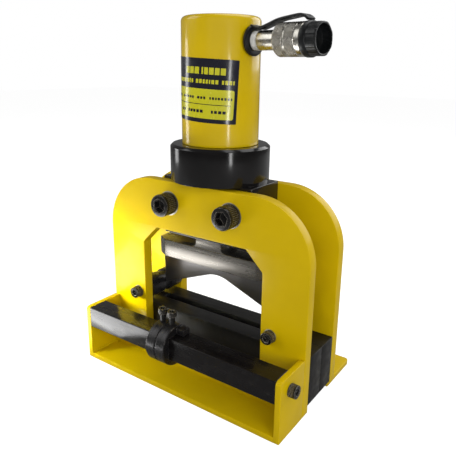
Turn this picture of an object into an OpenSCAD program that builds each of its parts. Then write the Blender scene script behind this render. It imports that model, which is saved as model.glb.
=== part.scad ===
// Vertical hydraulic flat-bar cutter head, millimetres, +Z up.
// Origin: on the floor, under the centre line of the ram. +X is the coupler side, -Y the stop-bar side.

/* [Arch plates] */
// Width of the two arch plates and of the base
base_w = 260; // [240:1:320]
// Height of the arch plates above the floor
plate_h = 218; // [205:1:262]
// Thickness of each arch plate
plate_t = 12; // [8:0.5:16]
// Clear distance between the two arch plates
plate_gap = 52; // [44:0.5:64]
// Radius of the rounded shoulders
shoulder_r = 62; // [30:1:70]
// Distance from the guide screws to the window in each arch plate
window_margin = 11; // [6:0.5:13]
// Top of the window above the floor
opening_top = 163; // [158:1:172]
// Bottom of the window above the floor
opening_bottom = 36; // [30:1:48]
// Chamfer of the two upper window corners
opening_chamfer = 20; // [5:1:30]

/* [Base] */
// Thickness of the foot plates
foot_t = 6; // [4:0.5:10]
// Thickness of the two side cheeks of the front tray
cheek_t = 6; // [4:0.5:10]
// Height of the side cheeks
cheek_h = 65; // [58:1:76]
// Radius of the front upper corner of the cheeks
cheek_r = 4; // [1:0.5:12]
// Reach of the foot plates in front of and behind the centre line
foot_reach = 84.5; // [80:0.5:110]
// How far the rear foot is set in at each end
rear_foot_inset = 2; // [0:0.5:10]
// Corner radius of the rear foot
rear_foot_r = 4; // [2:0.5:12]
// Relief holes in the tray corners
relief_d = 4; // [2:0.5:6]

/* [Lower die] */
// Height of the die faces above the floor
die_top = 62; // [58:0.5:64]
// Clearance under the die blocks
die_bottom = 8; // [7:0.5:14]
// Diameter of the dowels that locate the die blocks
dowel_d = 18; // [10:1:20]
// Height of the dowels above the floor
dowel_z = 28; // [20:1:34]

/* [Blade] */
// Width of the blade
blade_w = 156; // [120:1:160]
// Thickness of the blade
blade_t = 9; // [5:0.5:12]
// Clearance between the blade and the die slot on each side
slot_clear = 0.3; // [0.15:0.05:0.6]
// Slope of the cutting edges in degrees
blade_slope = 21.3; // [10:0.1:22]
// Height where the two cutting edges would meet
blade_apex = 112; // [108:0.5:116]
// Radius that rounds the apex
apex_r = 37; // [20:1:60]
// Stroke of the ram
stroke = 50; // [30:1:50]

/* [Blade holder] */
// Gap between the ends of the holder and the guide flanges
holder_gap = 2; // [1:0.5:8]
// Depth of the holder
holder_d = 44; // [36:0.5:44]
// Height of the holder's lower face above the floor
holder_bottom = 124.5; // [120:0.5:128]
// Height of the holder's cross bar
holder_h = 20; // [18:0.5:24]
// Length along X of the sloped ends of the holder
holder_taper = 13; // [4:0.5:20]
// Depth of the groove that the blade sits in
blade_seat = 10; // [8:0.5:11]
// Width of the raised centre lug
lug_w = 33; // [28:0.5:50]
// Fillet beside the lug
lug_fillet = 6; // [2:0.5:8]
// Spacing of the blade screws
blade_screw_pitch = 48; // [35:1:55]

/* [Blade guides] */
// Diameter of the guide rollers where the blade runs
guide_neck_d = 23; // [14:0.5:24]
// Height of the guide rollers above the die faces
guide_lift = 16.5; // [14:0.5:20]
// Flange diameter of the guide rollers
guide_flange_d = 27; // [20:0.5:27]
// Gap between the blade edge and the roller neck
guide_gap = 0.5; // [0.3:0.1:1.5]

/* [Head block] */
// Width of the head block
head_w = 114; // [106:1:190]
// Lower face of the head block above the floor
head_bottom = 156; // [156:0.5:158]
// Diameter of the round collar
collar_d = 105; // [96:1:120]
// Height of the head block above the arch plates, which is the gap under the collar
collar_lift = 2.6; // [1:0.1:6]
// Height of the round collar
collar_h = 38; // [26:1:44]
// Chamfer round the top of the collar
collar_chamfer = 2.5; // [1:0.5:5]
// Spacing of the large plate screws
head_screw_pitch = 80; // [70:1:110]
// Height of the large plate screws above the floor
head_screw_z = 194; // [180:1:200]
// Size of the large plate screws
head_screw_d = 16; // [12:1:20]

/* [Cylinder] */
// Outside diameter of the barrel
barrel_d = 80; // [76:0.5:84]
// Top of the barrel above the floor
barrel_top = 383; // [383:1:440]
// Bore of the barrel
bore_d = 56; // [50:0.5:58]
// Thread diameter where the barrel screws into the head block
barrel_thread_d = 77; // [70:0.5:77.5]
// Thickness of the closed end
end_wall = 15; // [10:1:20]
// Radius of the outer top edge
barrel_edge_r = 5; // [2:0.5:8]
// Distance of the port below the closed end of the bore
port_drop = 8.4; // [8:0.1:14]
// Direction of the port, in degrees from +X
port_angle = -7; // [-45:1:45]
// Thread diameter of the port
port_d = 16; // [10:0.5:16]

/* [Ram] */
// Diameter of the piston rod
rod_d = 32; // [28:0.5:33]
// Length of the piston
piston_l = 28; // [24:1:34]
// Distance of the piston below the closed end of the bore
piston_drop = 18; // [16.5:0.5:26]
// Running clearance of the piston on the radius
piston_clear = 0.1; // [0.03:0.01:0.3]
// Diameter of the threaded rod ends
spigot_d = 20; // [16:0.5:22]
// Wire diameter of the return spring
spring_wire = 5; // [3.5:0.25:5.5]
// Turns of the return spring
spring_turns = 5; // [3:0.25:5]
// Outside diameter of the gland bush
gland_d = 44; // [41:0.5:46]
// Running clearance of the rod on the radius
rod_clear = 0.05; // [0.02:0.01:0.15]

/* [Stop bar] */
// Side of the square stop bar
bar_s = 24; // [18:0.5:28]
// Outside diameter of the stop collars
stop_d = 44; // [42:0.5:50]
// Width of each stop collar
stop_w = 12; // [10:0.5:16]
// Clearance of the stop collars on the bar
stop_clear = 0.3; // [0.2:0.05:0.6]
// Left face of the left stop collar
stop_x = -26.4; // [-80:0.1:10]
// Gap between the two stop collars
stop_gap = 0.6; // [0.4:0.1:3]
// Free length of the clamping screws above the stop collars
stop_screw_rise = 9.5; // [2:0.5:14]
// Length of the finger on the right stop collar
finger_l = 9; // [4:0.5:16]
// Depth of the finger
finger_d = 10.5; // [6:0.5:12]
// Height of the finger
finger_h = 6.5; // [3:0.5:8]

/* [Coupler] */
// Outside diameter of the knurled sleeve
sleeve_d = 30; // [28:0.5:36]
// Length of the knurled sleeve
sleeve_l = 31; // [28:0.5:36]
// Outside diameter of the slim part of the coupler
neck_d = 18; // [17.5:0.5:20]
// Visible length of the port fitting, outside the barrel
fitting_l = 11.4; // [8:0.1:14]
// Visible length of the slim part of the coupler
neck_l = 21; // [16:0.5:28]
// Outside diameter of the tether ring
tether_d = 28.4; // [26:0.2:34]
// Thickness of the tether ring
tether_t = 4; // [3:0.5:5]
// Outside diameter of the dust cap's flange
cap_flange_d = 31; // [30:0.5:36]
// Outside diameter of the dust cap's cup
cap_d = 29.5; // [28:0.5:30]
// Width of the strap
strap_w = 12; // [8:0.5:14]
// Thickness of the strap
strap_t = 2.4; // [1.6:0.2:3]
// Stroke of the valve poppet
poppet_stroke = 2.5; // [1.5:0.25:3]

/* [Rating plate] */
// Height of the rating plate
label_h = 60; // [30:1:64]
// Lower edge of the rating plate above the collar
label_lift = 24.4; // [4:0.1:30]
// Arc of the rating plate in degrees
label_arc = 136; // [40:1:150]
// Right edge of the rating plate, in degrees from +X
label_edge = -30; // [-45:1:-30]
// Thickness of the rating plate
label_t = 0.5; // [0.3:0.1:1]

/* [Hidden] */
$fn = 96;

steel_fit = 0.2;                         // clearance of plain holes round screw shanks
plate_in = plate_gap / 2;                // inner face of an arch plate
plate_out = plate_in + plate_t;          // outer face of an arch plate
guide_z = die_top + guide_lift;
shoulder_x = base_w / 2 - shoulder_r;
collar_z = plate_h + collar_lift;        // underside of the round collar
collar_top = collar_z + collar_h;
barrel_seat = collar_z + 7.4;            // where the barrel bottoms in the head block
bore_top = barrel_top - end_wall;
port_z = bore_top - port_drop;
piston_top = bore_top - piston_drop;
piston_z = piston_top - piston_l;
gland_flange = 10;
spring_z = barrel_seat + gland_flange;   // lower seat of the return spring
wiper_h = 6;
wiper_z = head_bottom + 22;
slot_w = blade_t + 2 * slot_clear;
slot_half = blade_w / 2 + 2;
guide_x = blade_w / 2 + guide_gap + guide_neck_d / 2;
opening_w = 2 * (guide_x - window_margin);
holder_w = 2 * (guide_x - guide_flange_d / 2 - holder_gap);
bar_y = -foot_reach + bar_s / 2;
bar_z = cheek_h - bar_s / 2;
bar_half = base_w / 2 - cheek_t;
stop_right_x = stop_x + stop_w + stop_gap;
lug_top = head_bottom - 0.5;
blade_top = holder_bottom + blade_seat;
spigot_z = blade_top + 1.6;              // lower end of the rod thread
u_wall = barrel_d / 2;                   // stations along the coupler, from the ram's centre line
u_neck = u_wall + fitting_l;
u_sleeve = u_neck + neck_l;
u_sleeve_end = u_sleeve + sleeve_l;
u_body_end = u_sleeve_end - 3.3;
u_cap = u_sleeve_end + 0.5;
cap_flange_t = 5.2;
cap_cup_l = 10.5;
plug_d = 16;
plug_l = 11.5;
core_d = 23;                             // coupler body inside the sleeve

// A socket-head cap screw along +Z: the head stands on z = 0 and the shank goes down.
module cap_screw(d, shank, head_d = 0, head_h = 0) {
    hd = head_d > 0 ? head_d : 1.5 * d + 1;
    hh = head_h > 0 ? head_h : d;
    edge = 0.06 * hd;
    difference() {
        union() {
            cylinder(d = hd, h = hh - edge);
            translate([0, 0, hh - edge]) cylinder(d1 = hd, d2 = hd - 2 * edge, h = edge);
            translate([0, 0, -shank]) cylinder(d = d, h = shank + 0.01);
        }
        translate([0, 0, 0.45 * hh]) cylinder(d = 0.87 * d, h = hh, $fn = 6);
    }
}

// Turns +Z to -Y (front) or, mirrored, to +Y (rear).
module front_facing(x, z, depth) {
    translate([x, -depth, z]) rotate([90, 0, 0]) children();
}

module rear_facing(x, z, depth) {
    translate([x, depth, z]) rotate([-90, 0, 0]) children();
}

// Everything on the coupler is drawn along +Z and laid along the port's direction.
module along_port(u = 0) {
    rotate([0, 0, port_angle]) translate([u, 0, port_z]) rotate([0, 90, 0]) children();
}

// A ring or a disc: outside diameter, bore, thickness.
module ring(d, bore, h) {
    difference() {
        cylinder(d = d, h = h);
        if (bore > 0) translate([0, 0, -1]) cylinder(d = bore, h = h + 2);
    }
}

// An open coil spring from z = 0 to z = h, as one swept tube.
module coil(mean_r, wire, turns, h) {
    sides = 10;
    steps = round(turns * 28);
    points = [for (i = [0 : steps]) for (k = [0 : sides - 1])
        let (a = 360 * turns * i / steps, b = 360 * k / sides, r = mean_r + wire / 2 * cos(b))
        [r * cos(a), r * sin(a), wire / 2 * (1 + sin(b)) + (h - wire) * i / steps]];
    skin = [for (i = [0 : steps - 1]) for (k = [0 : sides - 1]) let (n = (k + 1) % sides)
        [i * sides + k, i * sides + n, (i + 1) * sides + n, (i + 1) * sides + k]];
    first_end = [for (k = [sides - 1 : -1 : 0]) k];
    last_end = [for (k = [0 : sides - 1]) steps * sides + k];
    polyhedron(points, concat(skin, [first_end, last_end]), convexity = 10);
}

// Outline of an arch plate, seen from the front, with its window.
module arch_outline() {
    difference() {
        union() {
            translate([-base_w / 2, foot_t]) square([base_w, plate_h - shoulder_r - foot_t]);
            translate([-shoulder_x, foot_t]) square([2 * shoulder_x, plate_h - foot_t]);
            for (s = [-1, 1]) translate([s * shoulder_x, plate_h - shoulder_r]) circle(r = shoulder_r);
        }
        window_outline();
    }
}

module window_outline() {
    w = opening_w / 2;
    c = opening_chamfer;
    polygon([
        [-w, opening_bottom], [w, opening_bottom], [w, opening_top - c],
        [w - c, opening_top], [c - w, opening_top], [-w, opening_top - c]
    ]);
}

// An arch plate between y = plate_in and y = plate_out, drilled for its screws and dowels.
module arch_plate() {
    difference() {
        translate([0, plate_out, 0]) rotate([90, 0, 0]) linear_extrude(plate_t) arch_outline();
        for (s = [-1, 1]) {
            rear_facing(s * head_screw_pitch / 2, head_screw_z, plate_in - 1)
                cylinder(d = head_screw_d + 2 * steel_fit, h = plate_t + 2);
            rear_facing(s * guide_x, guide_z, plate_in - 1) cylinder(d = 8 + 2 * steel_fit, h = plate_t + 2);
            rear_facing(s * dowel_x(), dowel_z, plate_in - 1) cylinder(d = dowel_d, h = 1 + 0.75 * plate_t);
        }
    }
}

function dowel_x() = (slot_half + base_w / 2) / 2 - 2;

module front_plate() {
    color("gold") mirror([0, 1, 0]) arch_plate();
}

module rear_plate() {
    color("gold") arch_plate();
}

// Foot plate with two cheeks that carry the stop bar.
module front_tray() {
    color("gold") difference() {
        union() {
            translate([-base_w / 2, -foot_reach, 0]) cube([base_w, foot_reach - plate_in, foot_t]);
            for (s = [-1, 1]) translate([s > 0 ? base_w / 2 - cheek_t : -base_w / 2, 0, 0]) cheek();
        }
        for (s = [-1, 1]) {
            translate([s * (base_w / 2 - cheek_t - 1), bar_screw_y(), bar_screw_z()])
                rotate([0, s * 90, 0]) cylinder(d = 8 + 2 * steel_fit, h = cheek_t + 2);
            translate([s * (base_w / 2 - cheek_t - relief_d), -plate_out - 2 * relief_d, -1])
                cylinder(d = relief_d, h = foot_t + 2);
        }
    }
}

module cheek() {
    r = cheek_r;
    rotate([90, 0, 90]) linear_extrude(cheek_t) union() {
        translate([-foot_reach, 0]) square([foot_reach - plate_out, cheek_h - r]);
        translate([r - foot_reach, 0]) square([foot_reach - plate_out - r, cheek_h]);
        translate([r - foot_reach, cheek_h - r]) circle(r = r);
    }
}

function bar_screw_y() = bar_y + bar_s / 4;

function bar_screw_z() = bar_z - bar_s / 7;

module rear_foot() {
    half = base_w / 2 - rear_foot_inset;
    r = rear_foot_r;
    color("gold") linear_extrude(foot_t) union() {
        translate([-half, plate_in]) square([2 * half, foot_reach - plate_in - r]);
        translate([r - half, plate_in]) square([2 * (half - r), foot_reach - plate_in]);
        for (s = [-1, 1]) translate([s * (half - r), foot_reach - r]) circle(r = r);
    }
}

// Rectangular block between the plates, with the round collar that the barrel screws into.
module head_block() {
    color("dimgray") difference() {
        union() {
            translate([-head_w / 2, -plate_in, head_bottom]) cube([head_w, plate_gap, collar_z - head_bottom]);
            translate([0, 0, collar_z]) cylinder(d = collar_d, h = collar_h - collar_chamfer);
            translate([0, 0, head_bottom + 1]) cylinder(d = plate_gap - 1, h = collar_z - head_bottom);
            translate([0, 0, collar_top - collar_chamfer])
                cylinder(d1 = collar_d, d2 = collar_d - 2 * collar_chamfer, h = collar_chamfer);
        }
        translate([0, 0, barrel_seat]) cylinder(d = barrel_thread_d, h = collar_h);
        translate([0, 0, wiper_z]) cylinder(d = gland_d, h = collar_top - wiper_z);
        translate([0, 0, head_bottom - 1]) cylinder(d = rod_d + 1, h = wiper_z - head_bottom + 2);
        for (s = [-1, 1]) {
            rear_facing(s * head_screw_pitch / 2, head_screw_z, 4) cylinder(d = head_screw_d, h = plate_in);
            front_facing(s * head_screw_pitch / 2, head_screw_z, 4) cylinder(d = head_screw_d, h = plate_in);
        }
    }
}

module barrel() {
    r = barrel_d / 2;
    e = barrel_edge_r;
    color("gold") difference() {
        rotate_extrude() union() {
            translate([0, barrel_seat]) square([barrel_thread_d / 2, collar_top - barrel_seat + 0.01]);
            translate([0, collar_top]) square([r, barrel_top - collar_top - e]);
            translate([0, barrel_top - e - 0.01]) square([r - e, e + 0.01]);
            translate([r - e, barrel_top - e]) intersection() {
                circle(r = e);
                square([e, e]);
            }
        }
        translate([0, 0, barrel_seat - 1]) cylinder(d = bore_d, h = bore_top - barrel_seat + 1);
        along_port(bore_d / 4) cylinder(d = port_d, h = barrel_d);
    }
}

// Bronze rod guide: its flange fills the foot of the bore and carries the spring.
module gland_bush() {
    color("peru") difference() {
        union() {
            translate([0, 0, barrel_seat]) cylinder(d = bore_d - 2 * piston_clear, h = gland_flange);
            translate([0, 0, wiper_z + wiper_h]) cylinder(d = gland_d, h = barrel_seat - wiper_z - wiper_h + 0.01);
        }
        translate([0, 0, wiper_z]) cylinder(d = rod_d + 2 * rod_clear, h = spring_z - wiper_z + 1);
    }
}

module rod_wiper() {
    color("black") translate([0, 0, wiper_z]) ring(gland_d, rod_d + 2 * rod_clear, wiper_h);
}

module rating_plate() {
    color("midnightblue") rotate([0, 0, label_edge - label_arc]) rotate_extrude(angle = label_arc)
        translate([barrel_d / 2, collar_top + label_lift]) square([label_t, label_h]);
}

// One die block, from the parting plane y = 0 back to y = plate_in, with its half of the blade slot.
module die_block() {
    difference() {
        translate([-base_w / 2, 0, die_bottom]) cube([base_w, plate_in, die_top - die_bottom]);
        translate([-slot_half, -1, die_bottom - 1]) cube([2 * slot_half, 1 + slot_w / 2, die_top]);
        for (s = [-1, 1])
            rear_facing(s * dowel_x(), dowel_z, 0.6 * plate_in) cylinder(d = dowel_d, h = plate_in);
    }
}

module front_die() {
    color("dimgray") mirror([0, 1, 0]) die_block();
}

module rear_die() {
    color("gray") die_block();
}

module die_dowels() {
    depth = 0.4 * plate_in + 0.75 * plate_t;
    color("silver") for (s = [-1, 1]) {
        rear_facing(s * dowel_x(), dowel_z, 0.6 * plate_in) cylinder(d = dowel_d, h = depth);
        front_facing(s * dowel_x(), dowel_z, 0.6 * plate_in) cylinder(d = dowel_d, h = depth);
    }
}

// Flanged rollers: the blade's side edges run in the grooves.
module guide_rollers() {
    color("slategray") for (s = [-1, 1]) front_facing(s * guide_x, guide_z, -plate_in) difference() {
        cylinder(d = guide_flange_d, h = plate_gap);
        translate([0, 0, plate_in - slot_w / 2]) ring(guide_flange_d + 2, guide_neck_d, slot_w);
        translate([0, 0, -1]) cylinder(d = 8, h = 17);
        translate([0, 0, plate_gap - 16]) cylinder(d = 8, h = 17);
    }
}

module head_screws() {
    color("dimgray") for (s = [-1, 1]) {
        front_facing(s * head_screw_pitch / 2, head_screw_z, plate_out)
            cap_screw(head_screw_d, plate_out - 4, 1.5 * head_screw_d);
        rear_facing(s * head_screw_pitch / 2, head_screw_z, plate_out)
            cap_screw(head_screw_d, plate_out - 4, 1.5 * head_screw_d);
    }
}

module guide_screws() {
    color("dimgray") for (s = [-1, 1]) {
        front_facing(s * guide_x, guide_z, plate_out) cap_screw(8, plate_t + 16);
        rear_facing(s * guide_x, guide_z, plate_out) cap_screw(8, plate_t + 16);
    }
}

module stop_bar() {
    color("gray") difference() {
        translate([-bar_half, -foot_reach, cheek_h - bar_s]) cube([2 * bar_half, bar_s, bar_s]);
        for (s = [-1, 1]) translate([s * bar_half, bar_screw_y(), bar_screw_z()]) rotate([0, 90, 0])
            cylinder(d = 8, h = 40, center = true);
    }
}

module bar_screws() {
    color("dimgray") for (s = [-1, 1]) translate([s * base_w / 2, bar_screw_y(), bar_screw_z()])
        rotate([0, s * 90, 0]) cap_screw(8, cheek_t + 20);
}

// A round collar with a square hole, clamped on the stop bar by a screw from above.
module stop_collar(x) {
    hole = bar_s + 2 * stop_clear;
    edge = 1.2;
    difference() {
        translate([x, bar_y, bar_z]) rotate([0, 90, 0]) union() {
            cylinder(d1 = stop_d - 2 * edge, d2 = stop_d, h = edge);
            translate([0, 0, edge]) cylinder(d = stop_d, h = stop_w - 2 * edge);
            translate([0, 0, stop_w - edge]) cylinder(d1 = stop_d, d2 = stop_d - 2 * edge, h = edge);
        }
        translate([x - 1, bar_y - hole / 2, bar_z - hole / 2]) cube([stop_w + 2, hole, hole]);
        translate([x + stop_w / 2, bar_y, bar_z]) cylinder(d = 6 + steel_fit, h = stop_d);
    }
}

module stop_screw(x) {
    translate([x + stop_w / 2, bar_y, bar_z + stop_d / 2 + stop_screw_rise])
        cap_screw(6, stop_screw_rise + stop_d / 2 - bar_s / 2 - stop_clear);
}

module stop_collar_left() {
    color("dimgray") stop_collar(stop_x);
}

module stop_screw_left() {
    color("silver") stop_screw(stop_x);
}

module stop_collar_right() {
    color("gray") union() {
        stop_collar(stop_right_x);
        translate([stop_right_x + stop_w - 2, bar_y, cheek_h + stop_clear])
            cube([finger_l + 2, finger_d, finger_h]);
    }
}

module stop_screw_right() {
    color("silver") stop_screw(stop_right_x);
}

module piston() {
    color("silver") difference() {
        translate([0, 0, piston_z]) cylinder(d = bore_d - 2 * piston_clear, h = piston_l);
        translate([0, 0, piston_z - 1]) cylinder(d = spigot_d, h = 1 + 0.7 * piston_l);
        cylinder(d = 12 + 2 * steel_fit, h = barrel_top);
        translate([0, 0, piston_top - 12]) ring(bore_d + 2, bore_d - 10, 6);
        translate([0, 0, piston_z + 4]) ring(bore_d + 2, bore_d - 4, 6);
    }
}

module piston_seal() {
    color("black") translate([0, 0, piston_top - 12]) ring(bore_d - 0.06, bore_d - 10, 6);
}

module wear_ring() {
    color("saddlebrown") translate([0, 0, piston_z + 4]) ring(bore_d - 0.06, bore_d - 4, 6);
}

module piston_screw() {
    color("dimgray") translate([0, 0, piston_top]) cap_screw(12, 0.3 * piston_l + 22, 18);
}

module piston_rod() {
    color("silver") difference() {
        union() {
            translate([0, 0, spigot_z]) cylinder(d = spigot_d, h = lug_top - spigot_z + 0.01);
            translate([0, 0, lug_top]) cylinder(d = rod_d, h = piston_z - lug_top);
            translate([0, 0, piston_z - 0.01]) cylinder(d = spigot_d, h = 0.7 * piston_l - 0.5);
        }
        translate([0, 0, piston_top - 0.3 * piston_l - 22]) cylinder(d = 12, h = 60);
    }
}

module return_spring() {
    color("gold") translate([0, 0, spring_z])
        coil((bore_d + rod_d) / 4, spring_wire, spring_turns, piston_z - spring_z);
}

// Half outline of the holder seen from above: straight front, sloped ends.
module holder_plan() {
    x = holder_w / 2;
    y = holder_d / 2;
    t = holder_taper;
    e = 0.58 * t;
    polygon([[-x, e - y], [t - x, -y], [x - t, -y], [x, e - y], [x, y - e], [x - t, y], [t - x, y], [-x, y - e]]);
}

// Half outline of the holder seen from the front: cross bar, fillet and lug.
function holder_side(s) = let (f = lug_fillet, top = holder_bottom + holder_h, steps = 8) concat(
    [[s * holder_w, holder_bottom], [s * holder_w, top]],
    [for (i = [0 : steps]) let (a = 90 * i / steps)
        [s * (lug_w / 2 + f - f * sin(a)), top + f - f * cos(a)]],
    [[s * lug_w / 2, lug_top]]);

module blade_holder() {
    left = holder_side(-1);
    last = len(left) - 1;
    color("lightgray") difference() {
        intersection() {
            translate([0, holder_d, 0]) rotate([90, 0, 0]) linear_extrude(2 * holder_d)
                polygon(concat(holder_side(1), [for (i = [0 : last]) left[last - i]]));
            translate([0, 0, holder_bottom - 1]) linear_extrude(lug_top - holder_bottom + 2) holder_plan();
        }
        translate([-holder_w, -blade_t / 2, holder_bottom - 1]) cube([2 * holder_w, blade_t, blade_seat + 1]);
        translate([0, 0, spigot_z]) cylinder(d = spigot_d, h = 60);
        for (k = [-1 : 1]) rear_facing(k * blade_screw_pitch, blade_screw_z(), -0.3 * holder_d) {
            cylinder(d = 6, h = holder_d);
            translate([0, 0, 0.8 * holder_d - 6.5]) cylinder(d = 10.5, h = 20);
        }
        rear_facing(0, lug_top - 5.5, 0) cylinder(d = 5, h = holder_d);
    }
}

function blade_screw_z() = holder_bottom + blade_seat / 2;

// Blade with an arched cutting edge: two slopes and a round apex.
module blade() {
    rise = blade_w / 2 * tan(blade_slope);
    centre = blade_apex - apex_r / cos(blade_slope);
    color("gray") difference() {
        translate([0, blade_t / 2, 0]) rotate([90, 0, 0]) linear_extrude(blade_t) difference() {
            translate([-blade_w / 2, blade_apex - rise]) square([blade_w, blade_top - blade_apex + rise]);
            difference() {
                polygon([[-blade_w, blade_apex - 2 * rise], [blade_w, blade_apex - 2 * rise], [0, blade_apex]]);
                difference() {
                    translate([-apex_r * sin(blade_slope), centre + apex_r * cos(blade_slope)])
                        square([2 * apex_r * sin(blade_slope), apex_r]);
                    translate([0, centre]) circle(r = apex_r);
                }
            }
        }
        for (k = [-1 : 1]) rear_facing(k * blade_screw_pitch, blade_screw_z(), -blade_t)
            cylinder(d = 6, h = 2 * blade_t);
    }
}

module blade_screws() {
    color("dimgray") for (k = [-1 : 1])
        rear_facing(k * blade_screw_pitch, blade_screw_z(), holder_d / 2 - 6.5)
            cap_screw(6, 0.8 * holder_d - 6.5);
}

module rod_lock_screw() {
    color("dimgray") rear_facing(0, lug_top - 5.5, spigot_d / 2) difference() {
        cylinder(d = 5, h = holder_d / 2 - spigot_d / 2 - 1);
        translate([0, 0, holder_d / 2 - spigot_d / 2 - 4]) cylinder(d = 2.9, h = 5, $fn = 6);
    }
}

// Hollow adaptor between the port and the coupler.
module port_fitting() {
    color("silver") along_port() difference() {
        union() {
            translate([0, 0, bore_d / 2 + 1]) cylinder(d = port_d, h = u_wall - bore_d / 2);
            translate([0, 0, u_wall + 0.3]) cylinder(d = neck_d - 1.4, h = fitting_l - 0.3);
            translate([0, 0, u_neck - 0.01]) cylinder(d = 13, h = 10);
        }
        cylinder(d = 6, h = 2 * u_neck);
    }
}

module sealing_tape() {
    color("white") along_port(u_wall + tether_t + 0.5)
        ring(neck_d, neck_d - 1.4, fitting_l - tether_t - 0.7);
}

module coupler_body() {
    color("silver") along_port() difference() {
        union() {
            translate([0, 0, u_neck]) cylinder(d = neck_d, h = neck_l + 3);
            translate([0, 0, u_sleeve + 2.6]) cylinder(d = core_d, h = u_body_end - u_sleeve - 2.6);
        }
        translate([0, 0, u_neck - 1]) cylinder(d = 13, h = 11);
        translate([0, 0, u_neck]) cylinder(d = 12, h = u_body_end - u_neck - 14);
        cylinder(d = 7, h = u_body_end);
        translate([0, 0, u_body_end - 10]) cylinder(d = plug_d + 0.6, h = 11);
        translate([0, 0, u_body_end - 3]) ring(core_d + 2, core_d - 1.5, 1.3);
    }
}

module sleeve_ring() {
    color("dimgray") along_port(u_body_end - 3) ring(core_d + 2, core_d - 1.5, 1.3);
}

module coupler_sleeve() {
    edge = 2.4;
    color("silver") along_port(u_sleeve) difference() {
        union() {
            cylinder(d1 = sleeve_d - 2 * edge, d2 = sleeve_d, h = edge);
            translate([0, 0, edge]) cylinder(d = sleeve_d, h = sleeve_l - edge);
        }
        translate([0, 0, 0.4 * sleeve_l]) ring(sleeve_d + 2, sleeve_d - 2, 1.6);
        translate([0, 0, 0.8 * sleeve_l]) ring(sleeve_d + 2, sleeve_d - 1.4, 1.4);
        translate([0, 0, -1]) cylinder(d = neck_d + 0.5, h = 10);
        translate([0, 0, 2.3]) cylinder(d = core_d + 0.3, h = sleeve_l);
        translate([0, 0, sleeve_l - 7]) cylinder(d = core_d + 3, h = 8);
    }
}

// Spring-loaded valve that the other half of the coupler pushes open.
module valve_poppet() {
    seat = u_body_end - 14;
    color("silver") along_port() union() {
        translate([0, 0, seat - 9]) cylinder(d = 11.6, h = 9 - poppet_gap());
        translate([0, 0, seat - 0.5 - poppet_gap()]) cylinder(d = 5, h = 6);
    }
}

function poppet_gap() = 0.05;

module valve_spring() {
    room = u_body_end - 14 - 9 - u_neck - 10;
    color("gold") along_port(u_neck + 10.1) coil(4.6, 1.2, 3, room - poppet_stroke - 0.4);
}

// Moulded cap: a plug in the coupler, a flange and an open cup.
module dust_cap() {
    color("black") along_port(u_cap) difference() {
        union() {
            translate([0, 0, -plug_l]) cylinder(d = plug_d, h = plug_l + 0.01);
            cylinder(d = cap_flange_d, h = cap_flange_t);
            translate([0, 0, cap_flange_t - 0.01]) cylinder(d = cap_d, h = cap_cup_l);
        }
        translate([0, 0, cap_flange_t + 1]) cylinder(d = cap_d - 5, h = cap_cup_l);
    }
}

// Centre line of the strap: stations along the coupler and distances from its axis.
function strap_stations() = let (r = sleeve_d / 2 + strap_t / 2) [
    [u_wall + 0.4 + tether_t / 2, tether_d / 2 - 1],
    [u_neck, neck_d / 2 + 1.7],
    [u_neck + 0.5 * neck_l, 0.5 * (neck_d / 2 + r) + 0.8],
    [u_sleeve + 1, r + 0.9],
    [u_sleeve + 0.45 * sleeve_l, r + 2.9],
    [u_sleeve + 0.8 * sleeve_l, r + 4],
    [u_sleeve_end - 1, r + 2.6],
    [u_cap + 1.6, cap_flange_d / 2 + strap_t / 2 + 0.45]
];

// A smooth curve through the stations.
function smooth_curve(p, parts) = [for (i = [0 : len(p) - 2]) for (k = [0 : parts - (i < len(p) - 2 ? 1 : 0)])
    let (t = k / parts, a = p[max(i - 1, 0)], b = p[i], c = p[i + 1], d = p[min(i + 2, len(p) - 1)])
    0.5 * (2 * b + t * (c - a) + t * t * (2 * a - 5 * b + 4 * c - d) + t * t * t * (3 * b - a - 3 * c + d))];

// Rubber tether: a ring round the port fitting and a strap that arches over the sleeve to the cap.
module cap_strap() {
    line = smooth_curve(strap_stations(), 5);
    last = len(line) - 1;
    slope = [for (i = [0 : last]) let (v = line[min(i + 1, last)] - line[max(i - 1, 0)]) v / norm(v)];
    upper = [for (i = [0 : last]) line[i] + strap_t / 2 * [-slope[i][1], slope[i][0]]];
    lower = [for (i = [last : -1 : 0]) line[i] - strap_t / 2 * [-slope[i][1], slope[i][0]]];
    color("black") along_port() union() {
        translate([0, 0, u_wall + 0.4]) ring(tether_d, neck_d + 0.2, tether_t);
        rotate([0, -90, 0]) translate([0, strap_w / 2, 0]) rotate([90, 0, 0])
            linear_extrude(strap_w) polygon(concat(upper, lower));
    }
}

front_plate();
rear_plate();
front_tray();
rear_foot();
head_block();
barrel();
gland_bush();
rod_wiper();
rating_plate();
front_die();
rear_die();
die_dowels();
guide_rollers();
head_screws();
guide_screws();
stop_bar();
bar_screws();
stop_collar_left();
stop_screw_left();
stop_collar_right();
stop_screw_right();
piston();
piston_seal();
wear_ring();
piston_screw();
piston_rod();
return_spring();
blade_holder();
blade();
blade_screws();
rod_lock_screw();
port_fitting();
sealing_tape();
coupler_body();
sleeve_ring();
coupler_sleeve();
valve_poppet();
valve_spring();
dust_cap();
cap_strap();
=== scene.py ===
"""Looks of the hydraulic flat-bar cutter head, built round its CAD frame.

Shapes are written in millimetres.
"""

import math

import bmesh
import bpy
from mathutils import Matrix, Vector


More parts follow.
